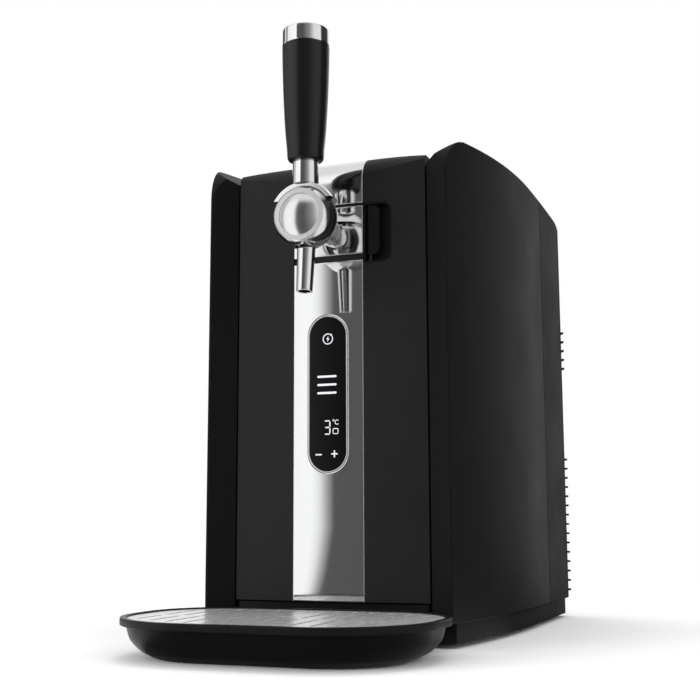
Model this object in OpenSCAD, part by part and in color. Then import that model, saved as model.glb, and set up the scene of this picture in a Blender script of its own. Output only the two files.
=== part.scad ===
// Counter-top mini keg beer dispenser.
// +X is the right of the machine seen from the front, +Y is towards its back, +Z is up.
// Modules are written with y = 0 at the steel strip's front face. placed() moves each
// one so that the origin is under the middle of the whole machine, on the table.

/* [Body] */
// Greatest width of the body, where its sides bulge
body_w = 272; // [264:1:290]
// Width over the front edges of the two side shells
front_w = 225; // [222:1:240]
// How far the side shells' front edges stand ahead of the steel strip
wing_reach = 9.3; // [6:0.1:12]
// Distance behind the strip where the body is widest
bulge_y = 210; // [190:1:230]
// Distance from the strip to the body's back face
body_depth = 384; // [378:1:400]
// Height of the crown of the domed top
body_h = 442.5; // [435:0.5:470]
// Distance behind the strip of the top's highest point
crown_y = 229; // [210:1:260]
// Side-view radius of the domed top
dome_r = 2565; // [1800:1:3200]
// Side-view radius of the top front corner
front_corner_r = 39; // [30:1:46]
// Side-view radius of the top back corner
back_top_r = 40; // [26:1:46]
// Height of the side shells' inner top edges, beside the door
cheek_z = 413; // [408:0.5:418]
// Angle at which the shells' tops rise outwards from the door
cheek_angle = 32.5; // [20:0.5:40]
// Angle at which the top between the shells rises backwards
top_angle = 8.5; // [6:0.5:12]
// Plan radius of the two back corners
back_corner_r = 20; // [16:1:26]
// Wall thickness of the shells and covers
shell_wall = 3; // [2.5:0.1:3.5]
// Height of the shells' bottom edge above the table
shell_bottom = 21; // [19:1:23]
// Distance behind the strip of the seam between side shell and back cover
side_seam_y = 265; // [250:1:280]
// Gap left at a seam between two covers
seam_gap = 0.6; // [0.4:0.1:0.9]

/* [Door] */
// Width of the door panel
door_w = 178.8; // [178.2:0.1:179.4]
// Gap on each side between the door and the side shells
door_gap = 1.5; // [1.3:0.1:1.8]
// How far the door's edges lie behind its middle
door_bow = 5.2; // [4.6:0.1:5.6]
// Height of the door's lower edge above the table
door_bottom = 36; // [33:0.1:37]
// Height of the door's top at its middle
door_top = 427.6; // [424:0.1:429]
// How far the door's top falls from its middle to its edges
door_crown = 6; // [4:0.5:7]
// Radius of the rolled top edge
door_roll_r = 26; // [22:1:28]
// Wall thickness of the door shell
door_wall = 3; // [2.5:0.1:3.2]
// Depth of the door shell from its front face
door_depth = 30; // [29:0.5:30]
// Thickness of the door's inner liner
liner_t = 3; // [2:0.5:3]
// Thickness of the rubber door seal
seal_t = 3; // [2:0.5:3]

/* [Steel strip] */
// Width of the strip
strip_w = 65.6; // [62:0.1:67]
// Thickness of the strip
strip_t = 1.2; // [0.8:0.1:1.4]
// Height of the slot above the tap plate
upper_slot_z = 379.6; // [376:0.1:384]
// Height of the upper end of the lower strip
lower_strip_top = 330.6; // [326:0.1:332]
// Height of the lower end of the tap plate
tap_plate_bottom = 336.6; // [334:0.1:340]
// Height of the slot between the upper strip and the tap plate
upper_slot_h = 2.9; // [1:0.1:4]

/* [Display] */
// Width of the display window
display_w = 36.8; // [34:0.2:40]
// Height of the display window's lower end
display_bottom = 145; // [138:0.5:150]
// Length of the display window
display_len = 138; // [130:1:144]
// Width of the bright rim round the display
bezel_w = 1.2; // [0.8:0.1:1.6]

/* [Tap] */
// Height of the tap ball's centre
ball_z = 358.5; // [355:0.5:362]
// Distance of the tap ball's centre ahead of the strip
ball_reach = 50; // [46:1:62]
// Radius of the tap ball
ball_r = 27.2; // [25:0.1:28]
// Radius of the satin dome in the ball's face
face_r = 22; // [19:0.5:23]
// Radius of the beer way through the shank
beer_way_r = 3; // [2.5:0.1:4]
// Least wall of the shank round the beer way
shank_wall = 1.5; // [1:0.1:2.5]
// Length of the spout below the ball
spout_len = 42; // [30:1:46]
// Radius of the spout's mouth
spout_r = 6.8; // [6:0.1:7.5]
// Forward lean of the spout
spout_lean = 6; // [0:1:10]
// Running clearance between the handle's collar and the ball
collar_gap = 0.4; // [0.3:0.1:0.6]
// Thickness of the collar
collar_t = 3.4; // [2:0.1:4]
// Distance of the collar's flat front face ahead of the ball's centre
collar_front = 8; // [6:0.5:10]
// Height of the collar's lower edge above the ball's centre
collar_rise = 15; // [14:0.5:18]
// Radius of the bright neck
neck_r = 11.2; // [8:0.1:12]
// Height of the bottom of the grip
grip_bottom = 408; // [402:1:412]
// Length of the black grip
grip_len = 103.5; // [90:0.5:115]
// Radius of the grip at its bottom
grip_low_r = 16; // [13:0.1:17]
// Radius of the grip at half its length
grip_mid_r = 19.3; // [17:0.1:20]
// Radius of the grip at its top
grip_high_r = 20.6; // [18:0.1:22]
// Length of the bright cap
cap_len = 14.5; // [10:0.5:22]

/* [Drip tray] */
// Width of the drip tray
tray_w = 258; // [246:1:264]
// Distance of the tray's front ahead of the strip
tray_reach = 180; // [165:1:190]
// Distance of the tray's back edge ahead of the strip
tray_back = 10.5; // [10.5:0.1:14]
// Height of the tray's rim
tray_h = 31; // [28:0.5:33]
// Height of the rim band
rim_h = 5.8; // [5:0.1:8]
// Width of the rim's flat top
rim_w = 5; // [4:0.5:7]
// Plan radius of the tray's front corners
tray_corner_r = 84; // [60:1:90]
// Plan radius of the tray's back corners
tray_back_r = 66; // [40:1:70]
// How far the bowl's foot is drawn in from the rim
bowl_inset = 28; // [20:1:32]
// Thickness of the bowl
bowl_wall = 2.2; // [2:0.1:3]
// Thickness of the steel grate
grate_t = 1.5; // [1:0.1:2]
// Distance between the grate's slot columns
slot_pitch = 17; // [16:0.5:18]
// Width of a grate slot
slot_w = 3.6; // [3:0.1:4.5]
// Number of slot columns on each side of the middle
slot_cols = 6; // [4:1:6]

/* [Keg space] */
// Radius of the keg chamber
chamber_r = 87; // [86.6:0.1:87]
// Wall thickness of the chamber
chamber_wall = 2.5; // [2:0.1:3]
// Height of the chamber floor's upper face
chamber_floor = 40; // [39:1:42]
// Height of the space above the chamber floor
chamber_h = 268; // [262:1:270]
// Thickness of the foam round the chamber
foam_t = 20; // [14:1:20]

/* [Cooling] */
// Height of the cooler's centre
cooler_z = 160; // [150:1:170]
// Width and height of the cooling block
block_w = 80; // [60:1:90]
// Width and height of the heat sink
sink_w = 96; // [88:1:104]
// Number of heat sink fins
sink_fins = 13; // [9:2:17]
// Width and height of the fan frame
fan_w = 92; // [80:1:92]
// Depth of the fan frame
fan_t = 25; // [20:1:26]
// Number of fan blades
fan_blades = 7; // [5:1:9]

/* [Louvres] */
// Distance between louvre fins
louvre_pitch = 10.2; // [9:0.1:10.4]
// Number of fins in the lower group
lower_fins = 15; // [10:1:15]
// Height of the lowest fin
lower_fin_z = 28; // [26:1:32]
// Number of fins in the upper group
upper_fins = 5; // [3:1:6]
// Height of the lowest fin of the upper group
upper_fin_z = 273.5; // [250:0.5:285]
// How far a fin stands out from the back
fin_out = 3; // [2:0.5:4]

/* [Hidden] */

$fn = 96;
big_fn = 360;
eps = 0.01;
far = 1000;

// The body's plan: each side is an arc that widens to bulge_y, then runs straight. The plan
// starts a little ahead of the front, which the side view cuts.
wing_front = -wing_reach;
bulge_in = (body_w - front_w) / 2;
bulge_run = bulge_y + wing_reach;
plan_lead = 5;
bulge_r = (bulge_run * bulge_run + bulge_in * bulge_in) / (2 * bulge_in);
mid_y = (body_depth + fin_out - tray_reach) / 2;

// The body's side view: a long arc for the top, tangent to the two corner arcs.
dome_cz = body_h - dome_r;
function dome_z(y) = dome_cz + sqrt(dome_r * dome_r - (y - crown_y) * (y - crown_y));
function corner_z(y, r) = dome_cz + sqrt((dome_r - r) * (dome_r - r) - (y - crown_y) * (y - crown_y));
function tangent_y(y, r) = crown_y + (y - crown_y) * dome_r / (dome_r - r);
front_cy = wing_front + front_corner_r;
back_cy = body_depth - back_top_r;

// The door, from its panel edge to the frame it closes on.
door_edge = door_w / 2;
wing_edge = door_edge + door_gap;
door_r = (door_edge * door_edge + door_bow * door_bow) / (2 * door_bow);
crown_r = (door_edge * door_edge + door_crown * door_crown) / (2 * door_crown);
liner_y = door_depth;
seal_y = liner_y + liner_t;
seal_slack = 1;
frame_y = seal_y + seal_t + seal_slack;
frame_t = 3;
seal_w = 2.2;
seal_side = 0.2;
seal_over = 0.8;
liner_in = 0.4;
liner_rise = 1;
liner_drop = 4;
wing_back = 12;
wing_lip = 2;

// The hinge line is close to the door's left edge so the edge turns inside its gap.
hinge_in = 4.8;
hinge_set = 3.1;
hinge_x = -door_edge + hinge_in;
hinge_y = door_bow + hinge_set;
hinge_pin_r = 1.8;
hinge_fit = 0.05;
knuckle_r = 3.4;
arm_t = 4;
arm_r = 2.3;
arm_gap = 0.5;
hinge_zs = [70, 370];
knuckle_h = 12;
knuckle_cap = 2;
pin_short = 0.5;
notch_ahead = 2.4;
notch_right = 4;

// Panels and parts let into the door, and where the cuts for them start.
panel_fit = 0.1;
cut_front = -5;
door_lip = 4;
strip_foot = 0.2;

// The latch lever sits in a cup let into the door beside the tap plate.
cup_gap = 0.6;
cup_left = strip_w / 2 + cup_gap;
cup_right = 59;
cup_bottom = 327.6;
cup_top = 381.6;
cup_depth = 12;
cup_wall = 1.5;
cup_r = 8;
latch_y = 6;
latch_pin_r = 1.5;
latch_pin_in = 0.2;
latch_barrel_r = 3;
latch_gap = 0.5;
latch_x = cup_left + cup_wall + latch_barrel_r + latch_gap;
lever_right = 47.8;
lever_bottom = 335.3;
lever_top = 379.3;
lever_t = 3;
lever_corner_r = 6;

ball_y = -ball_reach;
collar_r = ball_r + collar_gap + collar_t;
run_fit = 0.05;
face_fit = 0.3;
face_lip = 0.6;
face_seat_y = face_lip - sqrt(ball_r * ball_r - (face_r + face_fit) * (face_r + face_fit));
shank_in = 2;
nut_y = 18;
nut_t = 8;
nut_wall = 7;
grip_foot_w = 4.5;
grip_foot_h = 10;
spout_bore_r = 5;
spout_in = 4.8;
spout_taper = 1.2;

// The handle's stem leans back under the collar and turns on a cross pin inside the ball; its
// tail pushes the plunger back.
handle_swing = 28;
stem_lean = 20;
stem_r = 2.2;
stem_gap = 0.4;
stem_eye_r = 3.4;
stem_eye_w = 6;
stem_top = collar_r - 1;
pivot_r = 1.5;
pivot_right = 14;
way_gap = 0.1;
way_drop = stem_eye_r + beer_way_r + way_gap;
shank_r = way_drop + beer_way_r + shank_wall;
tail_r = 1.5;
tail_ball_r = 2;
plunger_gap = 0.3;
plunger_len = 34;

// Drip tray details, measured from the tray and the bowl.
rim_z = tray_h - rim_h;
grate_gap = 0.4;
grate_seat = 1.2;
grate_in = rim_w + grate_gap;
ledge_w = 4;
ledge_z = tray_h - grate_t - grate_seat;
rest_gap = 0.02;
bowl_top_inset = 5;
bowl_slab = 0.2;
// The bowl's outline: the share of its foot's inset, and of its height.
bowl_steps = [[1, 0], [0.74, 0.1], [0.45, 0.25], [0.15, 0.54], [0.04, 0.8], [0, 1]];
slot_in = 20;
slot_back_in = 11;
slot_front = -tray_reach + slot_in;
slot_split = -98;
slot_back = -tray_back - slot_back_in;
slot_arc = 22;
slot_back_arc = 18;
slot_land = 3;
float_y = -88;
float_w = 14;
float_d = 6;
float_gap = 0.5;
float_lift = 0.05;
tongue_x = 50;
tongue_w = 20;
tongue_z = 3;
tongue_t = 4;
tongue_gap = 0.3;

chamber_set = 4;
chamber_cy = frame_y + frame_t + chamber_r + chamber_set;
chamber_out = chamber_r + chamber_wall;
chamber_top = chamber_floor + chamber_h;
deck_t = 3;
deck_top = shell_bottom + deck_t;
base_bottom = 4;
block_wrap = 0.9;
block_front = chamber_cy + chamber_r * block_wrap;
block_out = 6;
block_back = chamber_cy + chamber_out + foam_t + block_out;
module_w = 40;
module_t = 4;
sink_y = block_back + module_t;
sink_base = 8;
sink_t = 32;
blade_t = 1.6;
fan_y = sink_y + sink_t;
fan_wall = 3;
fan_bore_r = fan_w / 2 - fan_wall;
fan_hub_r = 18;
fan_axle_r = 3;
fan_strut_t = 3;
fan_strut_w = 4;
fan_axle_in = 5;
rotor_in = 2;
fan_blade_w = 18;
fan_blade_t = 2;
fan_blade_lean = 35;

// The air pump sits on the foam above the chamber, beside the connector.
pump_z = chamber_top + chamber_wall + foam_t;
pump_y = chamber_cy;
pump_r = 17;
pump_len = 56;
pump_right = -16;
pump_foot_w = 40;
pump_foot_t = 3;
pump_sink = 1;
pump_axis_z = pump_z + pump_foot_t + pump_r - pump_sink;
connector_r = 9;
connector_drop = 8;
connector_fit = 0.2;
hose_r = 3;
hose_fit = 0.1;
hose_in = 6;
hose_bend = 12;

// Base parts, and the fits between the covers and what they enclose.
cover_fit = 0.4;
base_inset = 4;
base_wall = 2.5;
foot_r = 10;
foot_x = 90;
foot_in = 40;
plinth_in = 2;
plinth_gap = 1.2;
seat_t = 4;
seat_w = 27;
seat_gap = 3;
foam_fit = 0.3;
screw_x = 70;
screw_in = 60;
screw_r = 2;
screw_head_r = 4;
screw_head_h = 2.5;

// The mains inlet in the back cover.
inlet_in = 48;
inlet_x = body_w / 2 - inlet_in;
inlet_z = 215;
inlet_w = 30;
inlet_h = 24;
inlet_depth = 26;
inlet_fit = 0.2;
inlet_lip = [4, 2];
socket_w = 24;
socket_h = 17;
socket_depth = 18;
pin_pitch = 6;
pin_w = 2;
pin_h = 4;
pin_back = 4;

// Louvre fins, their slots and the posts that tie them.
fin_t = 2;
fin_lap = 1;
fin_reach = 14;
post_gap = 6;
post_w = 6;
post_x = inlet_x - inlet_w / 2 - inlet_lip[0] - post_gap - post_w / 2;
post_t = 4;
post_lap = 1;

// The power board on the deck and the control board in the door.
board_in = [36, 14];
board_size = [80, 50];
board_x = [board_in[0] - body_w / 2, board_in[0] - body_w / 2 + board_size[0]];
board_y = [body_depth - board_in[1] - board_size[1], body_depth - board_in[1]];
board_t = 2;
standoff_h = 6;
standoff_r = 2.5;
standoff_in = 4;
board_z = deck_top + standoff_h;
board_part_in = 8;
board_part_pitch = 34;
board_part = [24, 32, 22];
control_w = 32;
control_y = 4;
control_in = 8;
control_part = [16, 3, 30];
control_part_z = 30;

// The magnet on the frame and the steel plate on the door that hold the door shut.
catch_x = 64;
catch_z = 352;
catch_w = 24;
catch_h = 12;
catch_plate_t = 1;
catch_gap = 0.8;

// Display marks: x, height above the window's lower end, width and height of each bar.
marks_t = 0.2;
glass_t = 2;
ring_z = 117;
ring_r = 4.6;
ring_w = 0.8;
marks = [[0, 117, 1, 4], [0, 69.1, 19, 1.4], [0, 76.5, 19, 1.4], [0, 83.9, 19, 1.4],
    [-2.6, 33, 5.2, 1], [-2.6, 38, 5.2, 1], [-2.6, 43, 5.2, 1], [0.3, 38, 1, 11], [8, 42, 4, 1],
    [8, 34, 4.5, 3], [-8, 17, 6, 1], [8, 17, 6, 1], [8, 17, 1, 6]];

// Moves a module from the strip's frame to the machine's own frame.
module placed() {
    translate([0, -mid_y, 0]) children();
}

// Extrudes a Y-Z outline along X, centred.
module along_x(w) {
    rotate([90, 0, 90]) linear_extrude(w, center = true) children();
}

// Extrudes an X-Z outline along Y from y0.
module along_y(y0, depth) {
    translate([0, y0 + depth, 0]) rotate([90, 0, 0]) linear_extrude(depth) children();
}

// A box given by two opposite corners.
module span(low, high) {
    translate(low) cube(high - low);
}

// A rod along Y from y0.
module rod_y(x, z, r, y0, len) {
    translate([x, y0, z]) rotate([-90, 0, 0]) cylinder(h = len, r = r);
}

module slot_2d(w, len) {
    translate([-w / 2, w / 2]) square([w, len - w]);
    for (y = [w / 2, len - w / 2]) translate([0, y]) circle(w / 2, $fn = 48);
}

module rounded_2d(low, high, r) {
    translate([low[0] + r, low[1]]) square([high[0] - low[0] - 2 * r, high[1] - low[1]]);
    translate([low[0], low[1] + r]) square([high[0] - low[0], high[1] - low[1] - 2 * r]);
    for (x = [low[0] + r, high[0] - r], y = [low[1] + r, high[1] - r]) translate([x, y]) circle(r);
}

module body_plan(inset) {
    half = body_w / 2;
    intersection() {
        translate([half - bulge_r, bulge_y]) circle(bulge_r - inset, $fn = big_fn);
        translate([bulge_r - half, bulge_y]) circle(bulge_r - inset, $fn = big_fn);
        translate([-body_w, wing_front - plan_lead]) square([2 * body_w, bulge_run + plan_lead]);
    }
    translate([inset - half, bulge_y])
        square([body_w - 2 * inset, body_depth - back_corner_r - bulge_y]);
    translate([back_corner_r - half, bulge_y])
        square([body_w - 2 * back_corner_r, body_depth - inset - bulge_y]);
    for (side = [-1, 1]) translate([side * (half - back_corner_r), body_depth - back_corner_r])
        circle(back_corner_r - inset);
}

module side_view(inset) {
    front_t = tangent_y(front_cy, front_corner_r);
    back_t = tangent_y(back_cy, back_top_r);
    front_z = corner_z(front_cy, front_corner_r);
    back_z = corner_z(back_cy, back_top_r);
    intersection() {
        translate([crown_y, dome_cz]) circle(dome_r - inset, $fn = 4 * big_fn);
        translate([front_t, 0]) square([back_t - front_t, body_h + 1]);
    }
    translate([front_cy, front_z]) circle(front_corner_r - inset);
    translate([wing_front, 0]) square([front_corner_r, front_z]);
    translate([back_cy, back_z]) circle(back_top_r - inset);
    translate([back_cy, 0]) square([back_top_r - inset, back_z]);
}

// The trough in the top: its floor rises backwards, and its sides are the tops of the two
// side shells, which rise outwards.
module trough(inset) {
    reach = body_w / 2;
    fold = wing_edge - seam_gap / 2;
    rise = reach * tan(cheek_angle);
    translate([0, door_bow, cheek_z - inset]) rotate([top_angle, 0, 0]) along_y(-reach, far) polygon([
        [-fold, 0], [fold, 0], [fold + reach, rise], [fold + reach, far], [-fold - reach, far],
        [-fold - reach, rise]]);
}

module body_form(inset, bottom) {
    difference() {
        intersection() {
            translate([0, 0, bottom]) linear_extrude(body_h) body_plan(inset);
            along_x(body_w + 1) side_view(inset);
        }
        trough(inset);
    }
}

module body_skin() {
    difference() {
        body_form(0, shell_bottom);
        body_form(shell_wall, shell_bottom - 1);
    }
}

// The plan of a side shell: its front is a solid wing whose slanted face frames the door.
module shell_plan_2d() {
    lean = (front_w / 2 - wing_lip - wing_edge) / (door_bow - wing_front);
    ahead = wing_front - 1;
    back = side_seam_y - seam_gap / 2;
    polygon([[wing_edge, door_bow], [wing_edge + lean * (door_bow - ahead), ahead], [body_w, ahead],
        [body_w, back], [wing_edge, back]]);
}

module right_shell_solid() {
    difference() {
        intersection() {
            body_form(0, shell_bottom);
            linear_extrude(body_h + 1) shell_plan_2d();
        }
        intersection() {
            body_form(shell_wall, shell_bottom - 1);
            span([0, wing_back, 0], [far, far, far]);
        }
    }
}

// Body covers and structure

module right_shell() {
    color("#242528") right_shell_solid();
}

module left_shell() {
    color("#242528") mirror([1, 0, 0]) right_shell_solid();
}

module top_cover() {
    edge = wing_edge - seam_gap;
    color("#242528") intersection() {
        body_skin();
        span([-edge, frame_y, body_h / 2], [edge, side_seam_y - seam_gap / 2, body_h + 1]);
    }
}

module fin_band(z) {
    translate([0, 0, z]) linear_extrude(fin_t) intersection() {
        difference() {
            body_plan(-fin_out);
            body_plan(shell_wall);
        }
        translate([-body_w, body_depth - fin_reach]) square([2 * body_w, far]);
    }
}

module fin_slot(z) {
    span([-body_w, body_depth - fin_reach, z + fin_t + fin_lap],
        [body_w, far, z + louvre_pitch - fin_lap]);
}

// A box about the inlet's middle, from y0 backwards.
module inlet_box(w, h, y0, y1) {
    span([inlet_x - w / 2, y0, inlet_z - h / 2], [inlet_x + w / 2, y1, inlet_z + h / 2]);
}

module back_cover() {
    color("#202124") {
        difference() {
            intersection() {
                body_skin();
                span([-body_w, side_seam_y + seam_gap / 2, 0], [body_w, far, body_h + 1]);
            }
            for (i = [0 : lower_fins - 2]) fin_slot(lower_fin_z + i * louvre_pitch);
            for (i = [0 : upper_fins - 2]) fin_slot(upper_fin_z + i * louvre_pitch);
            inlet_box(inlet_w + 2 * inlet_fit, inlet_h + 2 * inlet_fit, body_depth - fin_reach, far);
        }
        for (i = [0 : lower_fins - 1]) fin_band(lower_fin_z + i * louvre_pitch);
        for (i = [0 : upper_fins - 1]) fin_band(upper_fin_z + i * louvre_pitch);
        // Two posts tie the fins together behind the slots.
        for (x = [-post_x, post_x]) span([x - post_w / 2, body_depth - shell_wall - post_t, lower_fin_z],
            [x + post_w / 2, body_depth - shell_wall + post_lap, upper_fin_z + upper_fins * louvre_pitch]);
    }
}

module base_plan(inset) {
    intersection() {
        body_plan(base_inset + inset);
        translate([-body_w, door_bow + inset]) square([2 * body_w, far]);
    }
}

// The places of the four screws that clamp the base pan to the deck.
module at_screws() {
    for (x = [-screw_x, screw_x], y = [screw_in, body_depth - screw_in]) translate([x, y, 0]) children();
}

module base_pan() {
    color("#18191b") difference() {
        translate([0, 0, base_bottom]) linear_extrude(shell_bottom - base_bottom) base_plan(0);
        translate([0, 0, base_bottom + base_wall]) linear_extrude(far) base_plan(base_wall);
        at_screws() cylinder(h = far, r = screw_r);
    }
}

module feet() {
    color("#101011") for (x = [-foot_x, foot_x], y = [foot_in, body_depth - foot_in])
        translate([x, y, 0]) cylinder(h = base_bottom, r = foot_r);
}

module deck() {
    color("#3a3b3e") difference() {
        translate([0, 0, shell_bottom]) linear_extrude(deck_t) intersection() {
            body_plan(shell_wall + cover_fit);
            translate([-body_w, wing_back + cover_fit]) square([2 * body_w, far]);
        }
        at_screws() cylinder(h = far, r = screw_r);
    }
}

module plinth() {
    color("#0f0f10") span([plinth_in - door_edge, door_bow + plinth_in, shell_bottom],
        [door_edge - plinth_in, wing_back, door_bottom - plinth_gap]);
}

module inner_frame() {
    color("#2e2f32") difference() {
        intersection() {
            body_form(shell_wall + cover_fit, deck_top);
            span([-body_w, frame_y, 0], [body_w, frame_y + frame_t, body_h]);
        }
        span([-chamber_r, 0, chamber_floor], [chamber_r, far, chamber_top]);
    }
}

module chamber_plan(r, front) {
    translate([0, chamber_cy]) circle(r, $fn = big_fn);
    translate([-r, front]) square([2 * r, chamber_cy - front]);
}

module keg_chamber() {
    front = frame_y + frame_t;
    color("#c9cbce") difference() {
        translate([0, 0, chamber_floor - chamber_wall])
            linear_extrude(chamber_h + 2 * chamber_wall) chamber_plan(chamber_out, front);
        translate([0, 0, chamber_floor]) linear_extrude(chamber_h) chamber_plan(chamber_r, front - 1);
        translate([0, chamber_cy, chamber_top - 1])
            cylinder(h = chamber_wall + 2, r = connector_r + connector_fit);
    }
}

module insulation() {
    front = frame_y + frame_t;
    half = block_w / 2 + foam_fit;
    color("#e8e4d4") difference() {
        translate([0, 0, deck_top]) linear_extrude(pump_z - deck_top) intersection() {
            chamber_plan(chamber_out + foam_t, front);
            translate([-body_w, front]) square([2 * body_w, far]);
        }
        translate([0, 0, chamber_floor - chamber_wall]) linear_extrude(chamber_h + 2 * chamber_wall)
            chamber_plan(chamber_out, front - 1);
        span([-half, chamber_cy, cooler_z - half], [half, far, cooler_z + half]);
        translate([0, chamber_cy, chamber_top]) cylinder(h = far, r = connector_r + connector_fit);
    }
}

module keg_seat() {
    color("#55575b") translate([0, chamber_cy, chamber_floor]) difference() {
        cylinder(h = seat_t, r = chamber_r - seat_gap);
        translate([0, 0, -1]) cylinder(h = seat_t + 2, r = chamber_r - seat_gap - seat_w);
    }
}

// Cooling

module cooling_block() {
    color("#b9bcc0") difference() {
        span([-block_w / 2, block_front, cooler_z - block_w / 2],
            [block_w / 2, block_back, cooler_z + block_w / 2]);
        translate([0, chamber_cy, 0]) cylinder(h = far, r = chamber_out, $fn = big_fn);
    }
}

module cooler_module() {
    half = module_w / 2;
    color("#e9e9e6") span([-half, block_back, cooler_z - half], [half, sink_y, cooler_z + half]);
}

module heat_sink() {
    half = sink_w / 2;
    step = (sink_w - blade_t) / (sink_fins - 1);
    color("#a9acb0") {
        span([-half, sink_y, cooler_z - half], [half, sink_y + sink_base, cooler_z + half]);
        for (i = [0 : sink_fins - 1]) translate([i * step - half, 0, 0])
            span([0, sink_y + sink_base - eps, cooler_z - half], [blade_t, sink_y + sink_t, cooler_z + half]);
    }
}

module fan_frame() {
    half = fan_w / 2;
    color("#17181a") {
        difference() {
            span([-half, fan_y, cooler_z - half], [half, fan_y + fan_t, cooler_z + half]);
            rod_y(0, cooler_z, fan_bore_r, fan_y - 1, fan_t + 2);
        }
        // Struts carry the motor boss and its axle.
        for (a = [0 : 90 : 270]) translate([0, fan_y + fan_t - fan_strut_t, cooler_z]) rotate([0, a, 0])
            span([fan_hub_r - 2, 0, -fan_strut_w / 2], [fan_bore_r + 1, fan_strut_t, fan_strut_w / 2]);
        rod_y(0, cooler_z, fan_hub_r, fan_y + fan_t - fan_strut_t, fan_strut_t);
        rod_y(0, cooler_z, fan_axle_r, fan_y + fan_axle_in, fan_t - fan_axle_in);
    }
}

module fan_rotor() {
    hub_len = fan_t - fan_strut_t - rotor_in - 1;
    color("#2b2c2f") difference() {
        union() {
            rod_y(0, cooler_z, fan_hub_r, fan_y + rotor_in, hub_len);
            for (i = [0 : fan_blades - 1]) translate([0, fan_y + rotor_in + hub_len / 2, cooler_z])
                rotate([0, i * 360 / fan_blades, 0]) translate([fan_hub_r - 2, 0, 0])
                    rotate([fan_blade_lean, 0, 0]) translate([0, -fan_blade_t / 2, -fan_blade_w / 2])
                        cube([fan_bore_r - fan_hub_r, fan_blade_t, fan_blade_w]);
        }
        rod_y(0, cooler_z, fan_axle_r + run_fit, fan_y, fan_t);
    }
}

// Air supply

module air_pump() {
    color("#303236") {
        span([pump_right - pump_len, pump_y - pump_foot_w / 2, pump_z],
            [pump_right, pump_y + pump_foot_w / 2, pump_z + pump_foot_t]);
        translate([pump_right - pump_len, pump_y, pump_axis_z]) rotate([0, 90, 0])
            cylinder(h = pump_len, r = pump_r);
    }
}

module air_connector() {
    color("#c4c6c8") translate([0, chamber_cy, chamber_top - connector_drop]) difference() {
        cylinder(h = pump_z - chamber_top + connector_drop, r = connector_r);
        translate([0, 0, -1]) cylinder(h = far, r = hose_r);
    }
}

module air_hose() {
    r = hose_r - hose_fit;
    bend_z = pump_axis_z - hose_bend;
    color("#d8d8d2") translate([0, chamber_cy, 0]) {
        translate([0, 0, pump_z - hose_in]) cylinder(h = bend_z - pump_z + hose_in, r = r);
        translate([-hose_bend, 0, bend_z]) rotate([90, 0, 0])
            rotate_extrude(angle = 90) translate([hose_bend, 0]) circle(r);
        translate([pump_right, 0, pump_axis_z]) rotate([0, 90, 0])
            cylinder(h = -hose_bend - pump_right, r = r);
    }
}

// Electrics

module power_board() {
    color("#1f5a34") span([board_x[0], board_y[0], board_z], [board_x[1], board_y[1], board_z + board_t]);
    color("#1f1f22") for (i = [0 : 1]) translate([board_x[0] + board_part_in + i * board_part_pitch,
        board_y[0] + board_part_in, board_z + board_t - eps]) cube(board_part);
    color("#777777") for (x = [board_x[0] + standoff_in, board_x[1] - standoff_in],
        y = [board_y[0] + standoff_in, board_y[1] - standoff_in])
        translate([x, y, deck_top]) cylinder(h = standoff_h + eps, r = standoff_r);
}

module power_inlet() {
    back = body_depth + 1;
    floor_y = back - socket_depth;
    color("#141416") difference() {
        union() {
            inlet_box(inlet_w, inlet_h, back - inlet_depth, back);
            inlet_box(inlet_w + 2 * inlet_lip[0], inlet_h + 2 * inlet_lip[1], body_depth + eps, back);
        }
        inlet_box(socket_w, socket_h, floor_y, far);
    }
    color("#c8b070") for (i = [-1 : 1]) translate([i * pin_pitch, 0, 0])
        inlet_box(pin_w, pin_h, floor_y - eps, back - pin_back);
}

// Door

module door_form(inset, bottom) {
    intersection() {
        translate([0, 0, bottom]) linear_extrude(door_top) intersection() {
            translate([0, door_r]) circle(door_r - inset, $fn = 4 * big_fn);
            translate([-door_edge + inset, 0]) square([door_w - 2 * inset, door_depth]);
        }
        along_x(door_w + 1) {
            translate([door_roll_r, door_top - door_roll_r]) circle(door_roll_r - inset);
            translate([inset, 0]) square([far, door_top - door_roll_r]);
            translate([door_roll_r, 0]) square([far, door_top - inset]);
        }
        along_y(-1, door_depth + 2) intersection() {
            translate([0, door_top - crown_r]) circle(crown_r - inset, $fn = 4 * big_fn);
            translate([-door_edge, 0]) square([door_w, door_top + 1]);
        }
    }
}

module strip_channel(gap) {
    intersection() {
        difference() {
            door_form(-1, door_bottom - 2);
            door_form(strip_t + gap, 0);
        }
        span([-strip_w / 2 - gap, cut_front, 0], [strip_w / 2 + gap, far, far]);
    }
}

// The cup is rounded on its right and square where it meets the steel strip.
module cup_2d(grow) {
    low = [cup_left - grow, cup_bottom - grow];
    high = [cup_right + grow, cup_top + grow];
    rounded_2d(low, high, cup_r + grow);
    translate(low) square([2 * cup_r, high[1] - low[1]]);
}

module display_2d(grow) {
    half = display_w / 2 + grow;
    translate([0, display_bottom - grow]) slot_2d(2 * half, display_len + 2 * grow);
}

module hinge_notch() {
    for (z = hinge_zs) span([-door_w, hinge_y - notch_ahead, z - arm_t / 2 - arm_gap],
        [hinge_x + notch_right, far, z + arm_t / 2 + arm_gap]);
}

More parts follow.
